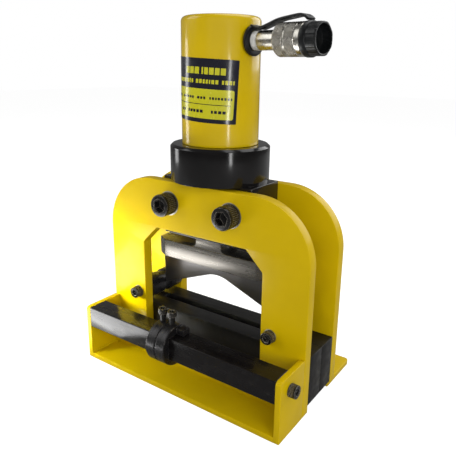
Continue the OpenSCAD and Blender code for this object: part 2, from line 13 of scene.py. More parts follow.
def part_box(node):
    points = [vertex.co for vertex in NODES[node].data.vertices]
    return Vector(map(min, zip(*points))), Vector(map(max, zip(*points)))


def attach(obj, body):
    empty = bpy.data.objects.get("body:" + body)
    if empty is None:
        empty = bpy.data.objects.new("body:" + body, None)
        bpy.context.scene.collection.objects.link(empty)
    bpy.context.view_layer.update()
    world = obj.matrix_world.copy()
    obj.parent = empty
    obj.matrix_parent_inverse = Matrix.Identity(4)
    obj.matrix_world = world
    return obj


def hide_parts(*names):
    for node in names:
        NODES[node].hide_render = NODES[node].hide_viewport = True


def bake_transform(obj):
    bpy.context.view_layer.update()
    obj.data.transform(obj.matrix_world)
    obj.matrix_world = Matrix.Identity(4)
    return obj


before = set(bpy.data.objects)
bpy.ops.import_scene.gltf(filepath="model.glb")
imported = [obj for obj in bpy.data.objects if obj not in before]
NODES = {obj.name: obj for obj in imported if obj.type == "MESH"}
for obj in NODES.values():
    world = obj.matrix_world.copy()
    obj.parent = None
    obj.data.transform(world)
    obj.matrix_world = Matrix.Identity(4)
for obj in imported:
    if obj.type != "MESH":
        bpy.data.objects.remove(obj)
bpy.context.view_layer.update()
MM = 0.001
TO_METRES = Matrix.Scale(MM, 4)
X, Y, Z = Vector((1, 0, 0)), Vector((0, 1, 0)), Vector((0, 0, 1))


def mm_box(node):
    """Lowest and highest corner of a CAD node in millimetres."""
    lo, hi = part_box(node)
    return [1000 * v for v in lo], [1000 * v for v in hi]


# ---------------------------------------------------------------- shapes

def place(origin, x, y):
    """Matrix from local millimetres to the frame's metres: local X and Y run along x and y."""
    z = x.cross(y)
    m = Matrix((x, y, z)).transposed().to_4x4()
    m.translation = Vector(origin)
    return Matrix.Scale(MM, 4) @ m


def rounded(points, radius, steps=4):
    """The closed polygon with its corners rounded; radius is one number or one for each corner."""
    out = []
    n = len(points)
    for i, p in enumerate(points):
        r = radius[i] if isinstance(radius, (list, tuple)) else radius
        p, a, b = Vector(p), Vector(points[i - 1]), Vector(points[(i + 1) % n])
        u, v = a - p, b - p
        lu, lv = u.length, v.length
        u, v = u / lu, v / lv
        angle = math.acos(max(-1, min(1, u.dot(v))))
        if r <= 0 or angle > math.pi - 0.05:
            out.append((p.x, p.y))
            continue
        t = min(r / math.tan(angle / 2), 0.48 * lu, 0.48 * lv)
        r = t * math.tan(angle / 2)
        c = p + (u + v).normalized() * r / math.sin(angle / 2)
        s, e = p + u * t - c, p + v * t - c
        a0, a1 = math.atan2(s.y, s.x), math.atan2(e.y, e.x)
        d = (a1 - a0 + math.pi) % (2 * math.pi) - math.pi
        for k in range(steps + 1):
            w = a0 + d * k / steps
            out.append((c.x + r * math.cos(w), c.y + r * math.sin(w)))
    return out


def arc(cx, cy, r, a0, a1, steps):
    """Points on an arc, angles in degrees."""
    return [(cx + r * math.cos(math.radians(a0 + (a1 - a0) * k / steps)),
             cy + r * math.sin(math.radians(a0 + (a1 - a0) * k / steps))) for k in range(steps + 1)]


def slab(loops, depth, bevel, steps=2):
    """A plate with rounded edges, centred on local Z.

    The first loop is its outline and the others are holes.
    """
    curve = bpy.data.curves.new("outline", "CURVE")
    curve.dimensions = "2D"
    curve.fill_mode = "BOTH"
    curve.extrude = depth / 2 - bevel
    curve.bevel_depth = bevel
    curve.bevel_resolution = steps
    curve.offset = -bevel
    for loop in loops:
        spline = curve.splines.new("POLY")
        spline.points.add(len(loop) - 1)
        for p, q in zip(spline.points, loop):
            p.co = (q[0], q[1], 0, 1)
        spline.use_cyclic_u = True
    ob = bpy.data.objects.new("outline", curve)
    bpy.context.scene.collection.objects.link(ob)
    mesh = bpy.data.meshes.new_from_object(ob.evaluated_get(bpy.context.evaluated_depsgraph_get()))
    bpy.data.objects.remove(ob)
    bpy.data.curves.remove(curve)
    return mesh


def cuboid(lo, hi, bevel):
    """A block with rounded edges, already in its place."""
    w, d, h = [b - a for a, b in zip(lo, hi)]
    loop = rounded([(-w / 2, -d / 2), (w / 2, -d / 2), (w / 2, d / 2), (-w / 2, d / 2)], bevel, 3)
    return slab([loop], h, bevel), place([(a + b) / 2 for a, b in zip(lo, hi)], X, Y)


def tube(rings, closed=True, caps=False):
    """A mesh of quads between neighbouring rings of points; closed joins the last ring to the first."""
    mesh = bpy.data.meshes.new("tube")
    n = len(rings[0])
    verts = [tuple(p) for ring in rings for p in ring]
    faces = []
    for i in range(len(rings) - (0 if closed else 1)):
        a, b = i * n, (i + 1) % len(rings) * n
        for k in range(n):
            m = (k + 1) % n
            faces.append((a + k, a + m, b + m, b + k))
    if caps:
        faces.append(tuple(reversed(range(n))))
        faces.append(tuple(range(len(verts) - n, len(verts))))
    mesh.from_pydata(verts, [], faces)
    return mesh


def turned(profile, segments=96, radius_at=None):
    """The closed profile of (radius, height) turned round local Z. radius_at(r, z, angle) may shape it."""
    rings = []
    for k in range(segments):
        a = 2 * math.pi * k / segments
        ring = []
        for r, z in profile:
            q = radius_at(r, z, a) if radius_at else r
            ring.append((q * math.cos(a), q * math.sin(a), z))
        rings.append(ring)
    return tube(rings)


def hexagon(angle, flats):
    """Distance from the centre to the side of a hexagon."""
    a = (angle + math.pi / 6) % (math.pi / 3) - math.pi / 6
    return flats / 2 / math.cos(a)


def socket_screw(d, head_d, head_h, shank, knurl=36):
    """Cap screw along local Z: its head stands on z = 0, with a knurled side and a hexagon socket."""
    r = head_d / 2
    edge = 0.07 * head_d
    flats = 0.82 * d
    depth = 0.55 * head_h
    per_tooth = 6
    segments = knurl * per_tooth
    cut = 0.025 * head_d
    rings = []
    for k in range(segments):
        a = 2 * math.pi * k / segments
        tooth = 1 - abs((k % per_tooth) / (per_tooth / 2) - 1)
        kr = r - cut * tooth ** 1.5
        h = hexagon(a, flats)
        line = [(0, -shank), (0.42 * d, -shank), (0.5 * d, -shank + 0.08 * d), (0.5 * d, 0),
                (r - 0.5, 0), (r, 0.5), (r, 0.14 * head_h),
                (kr, 0.2 * head_h), (kr, 0.72 * head_h), (r, 0.78 * head_h),
                (r, head_h - edge), (r - 0.3 * edge, head_h - 0.3 * edge), (r - edge, head_h),
                (h + 0.05 * d, head_h), (h, head_h - 0.05 * d), (h, head_h - depth),
                (0, head_h - depth - 0.2 * d)]
        rings.append([(q * math.cos(a), q * math.sin(a), z) for q, z in line])
    return tube(rings)


def bead(a, b, radius, up, out, seed=0.0):
    """A weld bead from a to b, lying in the corner between the directions up and out."""
    a, b = Vector(a), Vector(b)
    run = b - a
    steps = max(8, int(run.length / 0.9))
    rings = []
    for i in range(steps + 1):
        s = run.length * i / steps
        swell = 1 + 0.10 * math.sin(2 * math.pi * s / 3.1 + seed) + 0.05 * math.sin(s / 7.7 + 2 * seed)
        r = radius * swell * min(1, 0.4 + s / 3, 0.4 + (run.length - s) / 3)
        c = a + run * i / steps - 0.3 * radius * (up + out)
        rings.append([c + (up * math.sin(t) + out * math.cos(t)) * r * 1.15
                      for t in [2 * math.pi * k / 14 for k in range(14)]])
    return tube(rings, closed=False, caps=True)


def patch(a0, a1, z0, z1, r0, r1, corner):
    """A thin plate on a cylinder round local Z, with rounded corners; angles in degrees."""
    n = max(24, int((a1 - a0) * 1.5))
    length = math.radians(a1 - a0) * r1
    rings = []
    for i in range(n + 1):
        t = 0.5 - 0.5 * math.cos(math.pi * i / n)
        a = math.radians(a0 + (a1 - a0) * t)
        s = min(t, 1 - t) * length
        d = corner - math.sqrt(max(0, corner ** 2 - (corner - s) ** 2)) if s < corner else 0
        rings.append([(r * math.cos(a), r * math.sin(a), z)
                      for r, z in ((r0, z0 + d), (r1, z0 + d), (r1, z1 - d), (r0, z1 - d))])
    return tube(rings, closed=False, caps=True)


def sharp_shading(mesh, angle):
    """Merges doubled points and shades smooth, with sharp edges above the angle in degrees."""
    bm = bmesh.new()
    bm.from_mesh(mesh)
    bmesh.ops.remove_doubles(bm, verts=bm.verts, dist=2e-7)
    bmesh.ops.dissolve_degenerate(bm, edges=bm.edges, dist=1e-7)
    bmesh.ops.recalc_face_normals(bm, faces=bm.faces)
    bm.to_mesh(mesh)
    bm.free()
    mesh.shade_smooth()
    mesh.set_sharp_from_angle(angle=math.radians(angle))


def piece(name, body, parts, materials, stands_for=(), angle=32):
    """One object from several parts, each (mesh, matrix) or (mesh, matrix, material number).

    It rides on a body and may stand for CAD nodes.
    """
    bm = bmesh.new()
    for part in parts:
        mesh, matrix = part[0], part[1]
        number = part[2] if len(part) > 2 else 0
        mesh.transform(matrix)
        start = len(bm.faces)
        bm.from_mesh(mesh)
        bm.faces.ensure_lookup_table()
        for f in bm.faces[start:]:
            f.material_index = number
        bpy.data.meshes.remove(mesh)
    mesh = bpy.data.meshes.new(name)
    bm.to_mesh(mesh)
    bm.free()
    sharp_shading(mesh, angle)
    for m in materials:
        mesh.materials.append(m)
    ob = bpy.data.objects.new(name, mesh)
    bpy.context.scene.collection.objects.link(ob)
    if body:
        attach(ob, body)
    if stands_for:
        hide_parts(*stands_for)
    return ob


# ---------------------------------------------------------------- materials

DUST_COLOR = (0.30, 0.29, 0.27, 1)


def surface(name, color, rough, metal=0.0, tone=0.10, tone_scale=25, rough_var=0.06,
            bump=0.08, bump_scale=900, stretch=(1, 1, 1), coat=0.0, specular=0.5,
            wear=None, wear_radius=0.0007, wear_low=0.55, scratch=0.0, dust=0.0, wavy=0.0):
    """A procedural surface: uneven tone and roughness, bump, and if asked wear, scratches and dust."""
    m = bpy.data.materials.new(name)
    m.use_nodes = True
    nt = m.node_tree
    nodes, links = nt.nodes, nt.links
    nodes.clear()
    out = nodes.new("ShaderNodeOutputMaterial")
    shader = nodes.new("ShaderNodeBsdfPrincipled")
    links.new(shader.outputs[0], out.inputs[0])
    shader.inputs["Metallic"].default_value = metal
    shader.inputs["Coat Weight"].default_value = coat
    shader.inputs["Coat Roughness"].default_value = 0.06
    shader.inputs["Specular IOR Level"].default_value = specular
    coords = nodes.new("ShaderNodeTexCoord")
    mapping = nodes.new("ShaderNodeMapping")
    mapping.inputs["Scale"].default_value = stretch
    links.new(coords.outputs["Object"], mapping.inputs["Vector"])

    def noise(scale, detail, source=mapping):
        t = nodes.new("ShaderNodeTexNoise")
        t.inputs["Scale"].default_value = scale
        t.inputs["Detail"].default_value = detail
        links.new(source.outputs["Object" if source is coords else "Vector"], t.inputs["Vector"])
        return t.outputs["Fac"]

    def fit(value, low, high, to_low=0.0, to_high=1.0):
        r = nodes.new("ShaderNodeMapRange")
        r.interpolation_type = "SMOOTHSTEP"
        links.new(value, r.inputs["Value"])
        for key, v in (("From Min", low), ("From Max", high), ("To Min", to_low), ("To Max", to_high)):
            r.inputs[key].default_value = v
        return r.outputs["Result"]

    def mix(amount, a, b):
        x = nodes.new("ShaderNodeMix")
        x.data_type = "RGBA"
        for socket, v in ((x.inputs["Factor"], amount), (x.inputs["A"], a), (x.inputs["B"], b)):
            if isinstance(v, tuple):
                socket.default_value = v
            else:
                links.new(v, socket)
        return x.outputs["Result"]

    def math_node(kind, a, b):
        x = nodes.new("ShaderNodeMath")
        x.operation = kind
        for socket, v in zip(x.inputs, (a, b)):
            if isinstance(v, (int, float)):
                socket.default_value = v
            else:
                links.new(v, socket)
        return x.outputs[0]

    dark = tuple(c * (1 - tone) for c in color) + (1,)
    light = tuple(min(1, c * (1 + tone)) for c in color) + (1,)
    tint = mix(fit(noise(tone_scale, 5), 0.3, 0.7), dark, light)
    roughness = fit(noise(tone_scale * 3.1, 4), 0.25, 0.75, max(0.03, rough - rough_var), rough + rough_var)
    if scratch > 0:
        lines = nodes.new("ShaderNodeTexWave")
        lines.inputs["Scale"].default_value = 190
        lines.inputs["Distortion"].default_value = 22
        lines.inputs["Detail"].default_value = 3
        lines.inputs["Detail Scale"].default_value = 2.3
        links.new(mapping.outputs["Vector"], lines.inputs["Vector"])
        marks = math_node("MULTIPLY", fit(lines.outputs["Fac"], 0.93, 1.0), fit(noise(70, 3), 0.5, 0.7))
        marks = math_node("MULTIPLY", marks, scratch)
        tint = mix(marks, tint, tuple(min(1, 0.35 + c) for c in color) + (1,))
        roughness = math_node("ADD", roughness, math_node("MULTIPLY", marks, 0.15))
    if dust > 0:
        powder = math_node("MULTIPLY", fit(noise(140, 6, coords), 0.52, 0.75), dust)
        tint = mix(powder, tint, DUST_COLOR)
        roughness = math_node("ADD", roughness, math_node("MULTIPLY", powder, 0.4))
    if wear:
        soft = nodes.new("ShaderNodeBevel")
        soft.samples = 4
        soft.inputs["Radius"].default_value = wear_radius
        normal = nodes.new("ShaderNodeNewGeometry")
        dot = nodes.new("ShaderNodeVectorMath")
        dot.operation = "DOT_PRODUCT"
        links.new(soft.outputs["Normal"], dot.inputs[0])
        links.new(normal.outputs["Normal"], dot.inputs[1])
        edge = fit(dot.outputs["Value"], 0.80, 0.985, 1.0, 0.0)
        amount = math_node("MULTIPLY", edge, fit(noise(260, 4, coords), wear_low - 0.12, wear_low + 0.08))
        tint = mix(amount, tint, wear + (1,))
    links.new(tint, shader.inputs["Base Color"])
    links.new(roughness, shader.inputs["Roughness"])
    last = None
    for strength, distance, scale in ((bump, 0.0004, bump_scale), (wavy, 0.003, 26)):
        if strength > 0:
            relief = nodes.new("ShaderNodeBump")
            relief.inputs["Strength"].default_value = strength
            relief.inputs["Distance"].default_value = distance
            links.new(noise(scale, 2), relief.inputs["Height"])
            if last:
                links.new(last, relief.inputs["Normal"])
            last = relief.outputs["Normal"]
    links.new(last, shader.inputs["Normal"])
    return m


YELLOW = (0.56, 0.385, 0.001)
paint = surface("yellow_paint", YELLOW, 0.36, tone=0.05, tone_scale=18, bump=0.10, bump_scale=420,
                coat=0.10, specular=0.12, wear=(0.30, 0.25, 0.12), wear_radius=0.0006, wear_low=0.68,
                wavy=0.25)
barrel_paint = surface("yellow_barrel_paint", YELLOW, 0.22, tone=0.04, tone_scale=20, rough_var=0.03,
                       bump=0.05, bump_scale=380, coat=0.45, specular=0.25)
black_gloss = surface("black_gloss_paint", (0.005, 0.0045, 0.0045), 0.15, tone=0.25, rough_var=0.04,
                      bump=0.05, bump_scale=500, coat=0.15, specular=0.3, wear=(0.20, 0.19, 0.18),
                      wear_low=0.62)
black_bar = surface("blackened_bar", (0.007, 0.006, 0.006), 0.24, metal=0.2, tone=0.3, tone_scale=35,
                    rough_var=0.08, bump=0.08, bump_scale=260, stretch=(0.25, 1, 1), specular=0.35,
                    wear=(0.30, 0.28, 0.26), wear_low=0.56, scratch=0.05, dust=0.02)
die_steel = surface("blackened_die", (0.009, 0.0085, 0.008), 0.40, metal=0.3, tone=0.3, tone_scale=40,
                    rough_var=0.1, bump=0.12, bump_scale=300, stretch=(0.3, 1, 1), specular=0.35,
                    wear=(0.20, 0.19, 0.18), wear_low=0.55, scratch=0.05, dust=0.02)
holder_steel = surface("brushed_holder", (0.15, 0.14, 0.125), 0.27, metal=0.85, tone=0.16,
                       tone_scale=30, rough_var=0.08, bump=0.14, bump_scale=520, stretch=(0.06, 1, 1),
                       wear=(0.62, 0.60, 0.56), wear_low=0.42, scratch=0.10)
blade_steel = surface("blade_steel", (0.11, 0.105, 0.105), 0.34, metal=0.85, tone=0.22, tone_scale=35,
                      rough_var=0.08, bump=0.08, bump_scale=600, stretch=(0.1, 1, 1),
                      wear=(0.66, 0.64, 0.60), wear_low=0.40, scratch=0.10)
black_oxide = surface("black_oxide", (0.010, 0.0095, 0.009), 0.30, metal=0.4, tone=0.3, tone_scale=80,
                      bump=0.12, bump_scale=1200, wear=(0.55, 0.50, 0.42), wear_radius=0.0008,
                      wear_low=0.33)
collar_steel = surface("blackened_collar", (0.018, 0.017, 0.018), 0.30, metal=0.5, tone=0.3,
                       tone_scale=60, bump=0.1, bump_scale=700, stretch=(8, 1, 1),
                       wear=(0.34, 0.32, 0.30), wear_low=0.52)
zinc = surface("bright_zinc", (0.52, 0.50, 0.45), 0.28, metal=1.0, tone=0.10, tone_scale=70,
               rough_var=0.05, bump=0.02, bump_scale=900, wear=(0.75, 0.74, 0.70), wear_radius=0.0003)
# Darker zinc for the faces deep in the knurl grooves: painted shade in the grooves, not a colour of the zinc
# itself.
zinc_groove_shade = surface("zinc_painted_groove_shade", (0.16, 0.15, 0.13), 0.42, metal=0.9, tone=0.2, tone_scale=90,
                      bump=0.05, bump_scale=900)
dull_zinc = surface("dull_zinc", (0.36, 0.34, 0.30), 0.34, metal=0.95, tone=0.2, tone_scale=120,
                    bump=0.1, bump_scale=1200, wear=(0.60, 0.58, 0.53), wear_radius=0.0004)
chrome = surface("ground_chrome", (0.62, 0.62, 0.62), 0.12, metal=1.0, tone=0.05, tone_scale=60,
                 rough_var=0.04, bump=0.03, bump_scale=1500)
turned_steel = surface("turned_steel", (0.36, 0.355, 0.35), 0.30, metal=1.0, tone=0.12, tone_scale=60,
                       bump=0.12, bump_scale=900, stretch=(1, 1, 12))
bronze = surface("bronze", (0.45, 0.27, 0.10), 0.32, metal=1.0, tone=0.15, tone_scale=60, bump=0.1,
                 bump_scale=900, stretch=(1, 1, 12))
rubber = surface("black_rubber", (0.004, 0.0045, 0.005), 0.38, tone=0.3, tone_scale=60, rough_var=0.08,
                 bump=0.1, bump_scale=1500, specular=0.4, dust=0.02)
brown_plastic = surface("wear_plastic", (0.20, 0.09, 0.03), 0.5, tone=0.15, bump=0.1)
tape = surface("white_tape", (0.62, 0.61, 0.57), 0.6, tone=0.16, tone_scale=160, bump=0.6,
               bump_scale=420, stretch=(3, 1, 1))
navy = surface("print_navy", (0.008, 0.008, 0.016), 0.22, tone=0.2, bump=0.03, coat=0.3)
lime = surface("print_yellow", (0.50, 0.47, 0.012), 0.24, tone=0.04, bump=0.03, coat=0.4)

# ---------------------------------------------------------------- welded frame

lo_plate, hi_plate = mm_box("front_plate")
half_w = hi_plate[0]
y_out = -lo_plate[1]
y_in = -hi_plate[1]
plate_t = y_out - y_in
foot_t = lo_plate[2]
plate_top = hi_plate[2]
shoulder = 62.0
window = 79.0
window_top = 163.0

outline = ([(-half_w, foot_t), (half_w, foot_t)]
           + arc(half_w - shoulder, plate_top - shoulder, shoulder, 0, 90, 28)
           + arc(shoulder - half_w, plate_top - shoulder, shoulder, 90, 180, 28))
hole = rounded([(-window, 36), (window, 36), (window, window_top - 20), (window - 20, window_top),
                (20 - window, window_top), (-window, window_top - 20)], 1.6, 3)
for side, name in ((-1, "front"), (1, "rear")):
    y = side * (y_in + y_out) / 2
    piece(name + "_arch", "frame", [(slab([outline, hole], plate_t, 0.7), place((0, y, 0), X, Z))], [paint],
          [name + "_plate"])

lo, hi = mm_box("front_tray")
reach, cheek_h = -lo[1], hi[2]
cheek_t = 6.0
tray_half = half_w - cheek_t + 0.3
tray_outline = rounded([(-tray_half, -reach), (tray_half, -reach), (tray_half, 0.3 - y_out),
                        (half_w, 0.3 - y_out), (half_w, -y_in), (-half_w, -y_in),
                        (-half_w, 0.3 - y_out), (-tray_half, 0.3 - y_out)],
                       [0, 0, 0, 0.5, 0.5, 0.5, 0.5, 0], 3)
relief = [arc(s * 120, -46, 2, 0, 345, 23) for s in (-1, 1)]
cheek = rounded([(-reach, 0), (-y_out, 0), (-y_out, cheek_h), (-reach, cheek_h)], [1, 0.6, 1.5, 4], 5)
tray = [(slab([tray_outline] + relief, foot_t, 0.6), place((0, 0, foot_t / 2), X, Y))]
for s in (-1, 1):
    tray.append((slab([cheek], cheek_t, 0.6), place((s * (half_w - cheek_t / 2), 0, 0), Y, Z)))
    low_x = s * (half_w - cheek_t)
    tray.append((bead((low_x, -reach + 3, foot_t), (low_x, -y_out - 8, foot_t),
                      2.0, Z, -s * X, s), TO_METRES))
    high_x = s * (half_w - 5.6)
    tray.append((bead((high_x, -y_out, foot_t + 8), (high_x, -y_out, cheek_h - 1),
                      1.6, -s * X, -Y, 2 * s), TO_METRES))
tray.append((bead((12 - half_w, -y_out, foot_t), (half_w - 12, -y_out, foot_t),
                  2.2, Z, -Y, 0.4), TO_METRES))
piece("front_tray_weldment", "frame", tray, [paint], ["front_tray"])

lo, hi = mm_box("rear_foot")
rear_outline = rounded([(lo[0], lo[1]), (hi[0], lo[1]), (hi[0], hi[1]), (lo[0], hi[1])],
                       [0.6, 0.6, 4, 4], 5)
piece("rear_foot_plate", "frame",
      [(slab([rear_outline], foot_t, 0.6), place((0, 0, foot_t / 2), X, Y)),
       (bead((8 - half_w, y_out, foot_t), (half_w - 8, y_out, foot_t), 2.2, Z, Y, 1.7), TO_METRES)],
      [paint], ["rear_foot"])

# ---------------------------------------------------------------- head block and barrel

lo, hi = mm_box("head_block")
head_w = 57.0
collar_r = 52.5
collar_z = 220.6
collar_top = hi[2]
head_top = collar_z + 0.3
block = rounded([(-head_w, lo[2]), (head_w, lo[2]), (head_w, head_top), (-head_w, head_top)], 0.8, 3)
collar_line = rounded([(39, collar_z), (collar_r, collar_z), (collar_r, collar_top - 2.5),
                       (collar_r - 2.5, collar_top), (40.3, collar_top), (39, collar_top - 1.3)],
                      [0, 0.5, 0.6, 0.6, 0.3, 0.2], 3)
piece("head_block_turned", "frame",
      [(slab([block], 2 * y_in - 0.2, 0.8), place((0, 0, 0), X, Z)),
       (turned(collar_line, 160), place((0, 0, 0), X, Y))], [black_gloss], ["head_block"], angle=28)

lo, hi = mm_box("barrel")
barrel_r, barrel_top = hi[0], hi[2]
bore_r, neck_r, lid_t = 28, 38.4, 15
shell = rounded([(bore_r, lo[2]), (neck_r, lo[2]), (neck_r, collar_top - 0.3), (barrel_r, collar_top + 0.1),
                 (barrel_r, barrel_top), (0, barrel_top), (0, barrel_top - lid_t),
                 (bore_r, barrel_top - lid_t)], [0, 0, 0, 0.8, 5, 0, 0, 1], 8)
piece("barrel_shell", "frame", [(turned(shell, 192), place((0, 0, 0), X, Y))], [barrel_paint],
      ["barrel"], angle=28)

lo, hi = mm_box("rating_plate")
z0, z1 = lo[2], hi[2]
label_a, label_b = -166.0, -30.0
sheet = [(patch(label_a, label_b, z0, z1, barrel_r - 0.05, barrel_r + 0.22, 1.2), 0),
         (patch(label_a + 4.5, label_b - 4.6, z0 + 4, z0 + 32, barrel_r + 0.1, barrel_r + 0.32, 2.2), 1),
         (patch(-157, -39, z0 + 17.2, z0 + 17.8, barrel_r + 0.25, barrel_r + 0.40, 0.2), 0)]


def dashes(a, widths, z, h, tone):
    """A row of plain blocks in the place of a line of print; a negative width is a space."""
    for w in widths:
        if w > 0:
            rise_from, rise_to = (0.25, 0.40) if tone == 0 else (0.1, 0.32)
            sheet.append((patch(a, a + w, z, z + h, barrel_r + rise_from, barrel_r + rise_to, 0.35), tone))
        a += abs(w) + 1.5


dashes(-111, (7, 7, 7.5, -1, 2.5, 5.5, 6.5, 6.5, 7), z0 + 45.5, 6.4, 1)
dashes(-137, (4, 3, 4, 3, 4, 2, 4, 2, 3, -2, 4, 4, 3, 3, 2, 4, 4, -2, 3, 4, 4, 2), z0 + 37, 3.8, 1)
dashes(-140, (3, 3, 3, 2, -3, 3, 2, 3, 3, 3, 3, -3, 4, 3, 3, -3, 2, 3, 2, 3, 3, 3, 3, 2), z0 + 22.4, 2.4, 0)
dashes(-121, (4, 4, -4.5, 3, 4, 4, 4.5, 4.5, -9, 3, 4, 4.5, 4.5), z0 + 9.4, 2.8, 0)
tilt = math.radians(3.0)
label_lift = 0.8
mid_a = math.radians((label_a + label_b) / 2)
mid_z = (z0 + z1) / 2
for m, k in sheet:
    for v in m.vertices:
        r, a, z = math.hypot(v.co.x, v.co.y), math.atan2(v.co.y, v.co.x), v.co.z
        s, t = (a - mid_a) * barrel_r, z - mid_z
        a = mid_a + (s * math.cos(tilt) + t * math.sin(tilt)) / barrel_r
        z = mid_z + label_lift + t * math.cos(tilt) - s * math.sin(tilt)
        v.co = (r * math.cos(a), r * math.sin(a), z)
piece("plain_rating_plate", "frame", [(m, place((0, 0, 0), X, Y), k) for m, k in sheet], [navy, lime],
      ["rating_plate"], angle=40)

# ---------------------------------------------------------------- die, guides and their screws

lo, hi = mm_box("front_die")
slot_y, slot_x = 4.8, 80.0
seam = 0.06
die_z, die_h = (lo[2] + hi[2]) / 2, hi[2] - lo[2]
for side, name in ((-1, "front"), (1, "rear")):
    pts = [(-half_w, seam), (-slot_x, seam), (-slot_x, slot_y), (slot_x, slot_y), (slot_x, seam),
           (half_w, seam), (half_w, y_in), (-half_w, y_in)]
    pts = [(x, side * y) for x, y in pts]
    loop = rounded(pts if side > 0 else pts[::-1], 0.5, 2)
    piece(name + "_die_block", "frame", [(slab([loop], die_h, 0.55), place((0, 0, die_z), X, Y))],
          [die_steel], [name + "_die"])

lo, hi = mm_box("guide_rollers")
guide_x, guide_z = 90.0, (lo[2] + hi[2]) / 2
flange, neck = (hi[2] - lo[2]) / 2, 11.5
hole_r = 3.9
roller = rounded([(hole_r, -y_in), (flange, -y_in), (flange, -slot_y), (neck, -slot_y),
                  (neck, slot_y), (flange, slot_y), (flange, y_in), (hole_r, y_in)],
                 [0, 0.8, 0.8, 0.2, 0.2, 0.8, 0.8, 0], 3)
piece("guide_roller_pair", "frame",
      [(turned(roller, 96), place((s * guide_x, 0, guide_z), X, Z)) for s in (-1, 1)], [collar_steel],
      ["guide_rollers"])


def facing(side, x, y, z):
    """Places local Z along -Y (side -1) or +Y (side 1)."""
    return place((x, side * y, z), X, Z) if side < 0 else place((x, side * y, z), -X, Z)


def screw_set(name, node, x, z, d, head_d, head_h, shank):
    """Two screws in front and two behind, each on a bright ring of bare metal."""
    parts = []
    for side in (-1, 1):
        for s in (-1, 1):
            turn = Matrix.Rotation(0.35 + 0.9 * s + 0.5 * side, 4, "Z")
            parts.append((socket_screw(d, head_d, head_h, shank), facing(side, s * x, y_out, z) @ turn))
            bright = rounded([(0.52 * d, -0.1), (0.56 * head_d, -0.1),
                              (0.545 * head_d, 0.15), (0.52 * d, 0.15)], 0.04, 1)
            parts.append((turned(bright, 96), facing(side, s * x, y_out, z), 1))
    piece(name, "frame", parts, [black_oxide, dull_zinc], [node])


lo, hi = mm_box("head_screws")
large_head_d = hi[2] - lo[2]
screw_set("head_screw_set", "head_screws", 40, (lo[2] + hi[2]) / 2, 16, large_head_d, 16, 34)
lo, hi = mm_box("guide_screws")
screw_set("guide_screw_set", "guide_screws", guide_x, (lo[2] + hi[2]) / 2, 8, 13, 8, 28)

# ---------------------------------------------------------------- stop bar and its collars

lo, hi = mm_box("stop_bar")
stop_bar_top = hi[2]
bar_y, bar_z = (lo[1] + hi[1]) / 2, (lo[2] + hi[2]) / 2
bar_half = (hi[2] - lo[2]) / 2
piece("square_stop_bar", "frame", [cuboid(lo, hi, 0.9)], [black_bar], ["stop_bar"])

lo, hi = mm_box("bar_screws")
screw_y, screw_z = (lo[1] + hi[1]) / 2, (lo[2] + hi[2]) / 2
piece("bar_screw_pair", "frame",
      [(socket_screw(8, 13, 8, 24), place((s * half_w, screw_y, screw_z), Y, s * Z)) for s in (-1, 1)],
      [black_oxide], ["bar_screws"])


def square_reach(a, half):
    """Distance from the centre to the side of a square."""
    return half / max(abs(math.cos(a)), abs(math.sin(a)))


def stop_ring(width, outer, half):
    """A collar round local Z with a square hole."""
    rings = []
    n = 144
    for k in range(n):
        a = 2 * math.pi * k / n
        q = square_reach(a, half)
        line = [(q, 0.5), (q + 0.5, 0), (outer - 0.9, 0), (outer - 0.3, 0.3), (outer, 0.9),
                (outer, width - 0.9), (outer - 0.3, width - 0.3), (outer - 0.9, width),
                (q + 0.5, width), (q, width - 0.5)]
        rings.append([(r * math.cos(a), r * math.sin(a), z) for r, z in line])
    return tube(rings)


for side in ("left", "right"):
    lo, hi = mm_box("stop_collar_" + side)
    width = 12.0
    radius = (hi[2] - lo[2]) / 2
    parts = [(stop_ring(width, radius, bar_half + 0.3), place((lo[0], bar_y, bar_z), Y, Z))]
    if side == "right":
        parts.append(cuboid((lo[0] + width - 2, bar_y, stop_bar_top + 0.3),
                            (hi[0], bar_y + 10.5, stop_bar_top + 6.8), 0.7))
    piece(side + "_stop_ring", side + "_stop", parts, [collar_steel], ["stop_collar_" + side], angle=20)
    lo, hi = mm_box("stop_screw_" + side)
    x = (lo[0] + hi[0]) / 2
    base = hi[2] - 6
    piece(side + "_stop_clamp_screw", side + "_stop_screw",
          [(socket_screw(6, 10, 6, base - lo[2], 30), place((x, bar_y, base), X, Y))],
          [black_oxide], ["stop_screw_" + side])

# ---------------------------------------------------------------- ram: holder and blade

lo, hi = mm_box("blade_holder")
half_x, half_y, low_z = hi[0], hi[1], lo[2]
holder_h = 20
holder_top = low_z + holder_h
taper = 13.0
nose = 7.5
plan = rounded([(-half_x, nose - half_y), (taper - half_x, -half_y), (half_x - taper, -half_y),
                (half_x, nose - half_y), (half_x, half_y - nose), (half_x - taper, half_y),
                (taper - half_x, half_y), (-half_x, half_y - nose)], 0.8, 3)
lug_half, fillet = 16.5, 6.0
lug_top = hi[2]
lug = ([(-lug_half - fillet, holder_top - 1), (lug_half + fillet, holder_top - 1)]
       + arc(lug_half + fillet, holder_top + fillet, fillet, -90, -180, 8)
       + [(lug_half, lug_top), (-lug_half, lug_top)]
       + arc(-lug_half - fillet, holder_top + fillet, fillet, 0, -90, 8))
piece("blade_holder_bar", "ram",
      [(slab([plan], holder_h, 0.8), place((0, 0, low_z + holder_h / 2), X, Y)),
       (slab([lug], 2 * half_y - 1.0, 0.4), place((0, 0, 0), X, Z))], [holder_steel],
      ["blade_holder"], angle=28)

